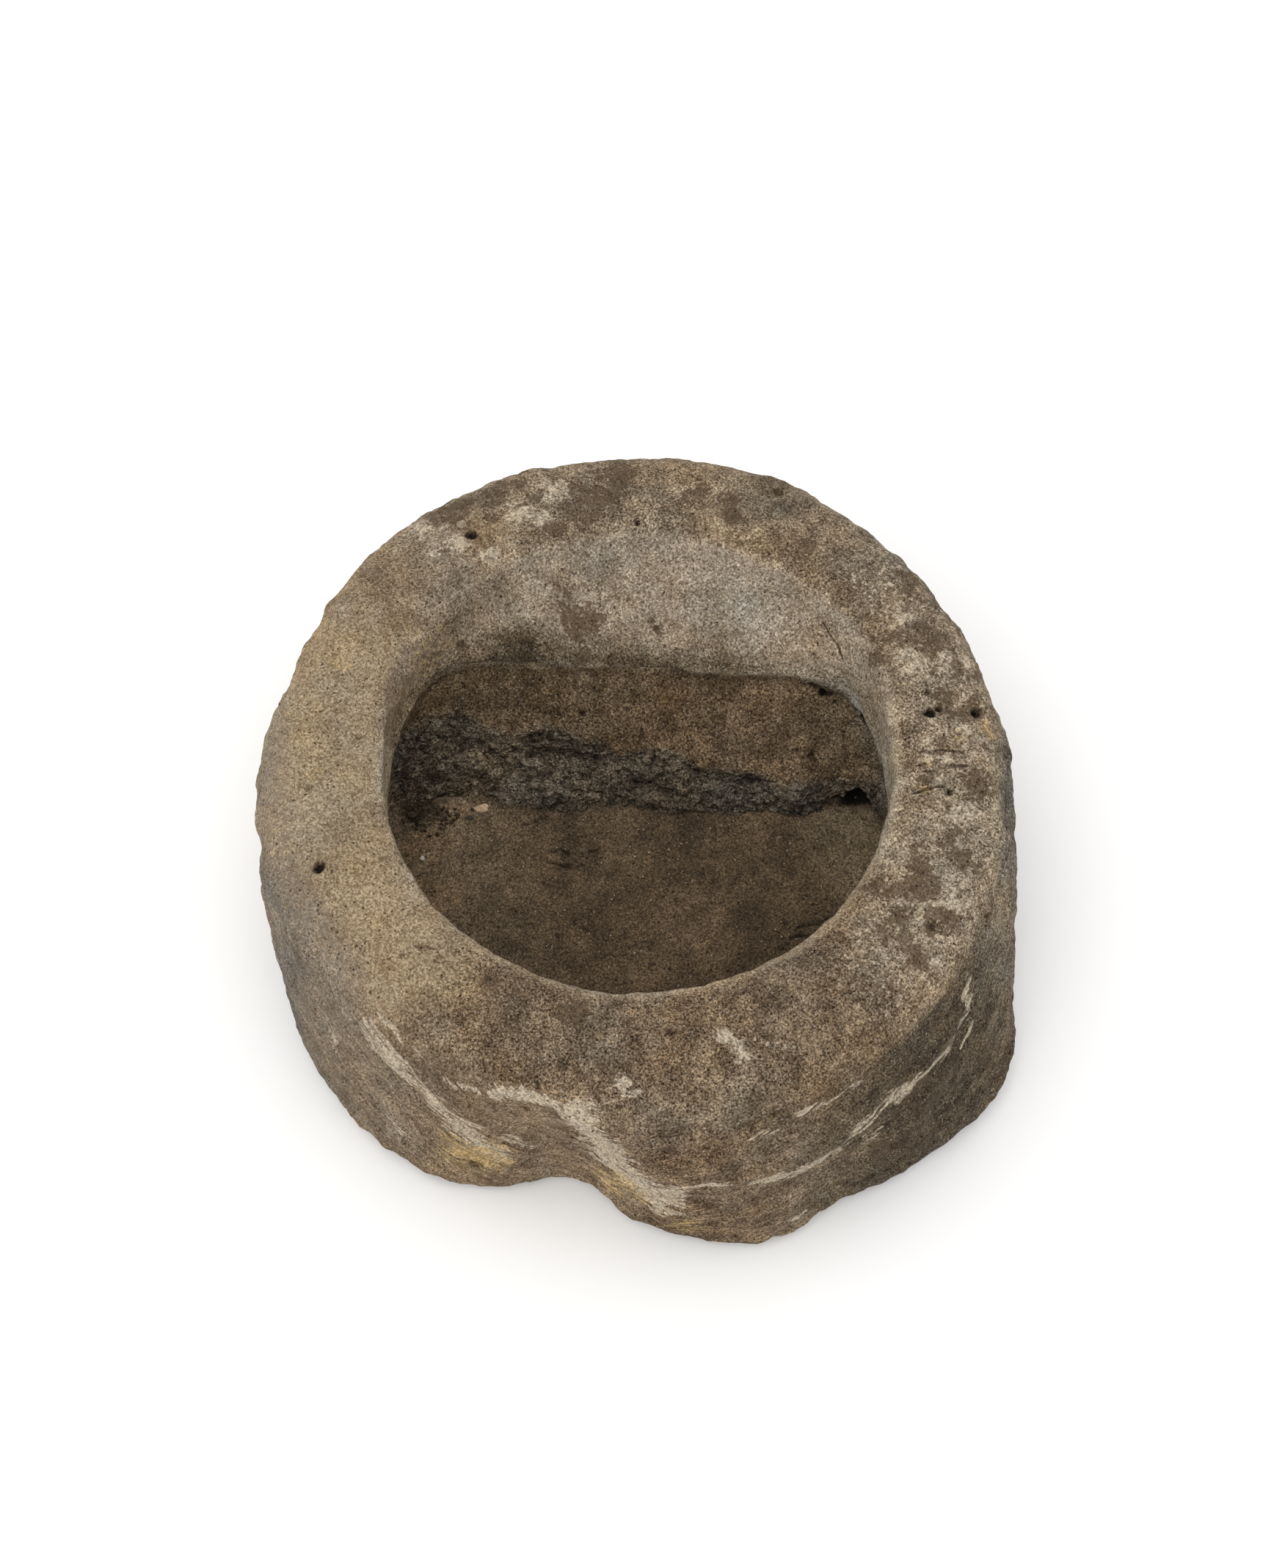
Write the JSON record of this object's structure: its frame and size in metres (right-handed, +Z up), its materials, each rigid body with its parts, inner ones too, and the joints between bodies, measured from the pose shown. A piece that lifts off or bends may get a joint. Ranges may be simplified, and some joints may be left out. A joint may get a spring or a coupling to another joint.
{
  "type": "molcajete",
  "caption": "Large old stone mortar carved from one rounded boulder, with a wide round mouth, a hollow whose back slopes in two stages, and packed silt in the bottom.",
  "frame": {"origin": "on the ground, in the middle of the bounding box of the boulder's footprint", "axes": "+Z up out of the mouth; -Y is the front, with the two lobes and the flute between them; +X to the right seen from the front"},
  "size_m": [0.4968, 0.5194, 0.1719],
  "materials": {
    "carved_stone": "matte",
    "packed_silt": "matte",
    "pale_stone": "matte",
    "buff_stone": "matte",
    "dark_stone": "matte",
    "crumb_soil": "matte"
  },
  "bodies": {
    "root": {"stone_body": "carved_stone", "rim_pebble": "pale_stone", "silt_bed": "packed_silt", "stone_chip": "buff_stone", "dark_pebble": "dark_stone", "white_pebble": "pale_stone", "buff_pebble": "buff_stone", "soil_crumb_1": "crumb_soil", "soil_crumb_2": "crumb_soil", "soil_crumb_3": "crumb_soil", "soil_crumb_4": "crumb_soil", "soil_crumb_5": "crumb_soil"}
  },
  "joints": []
}
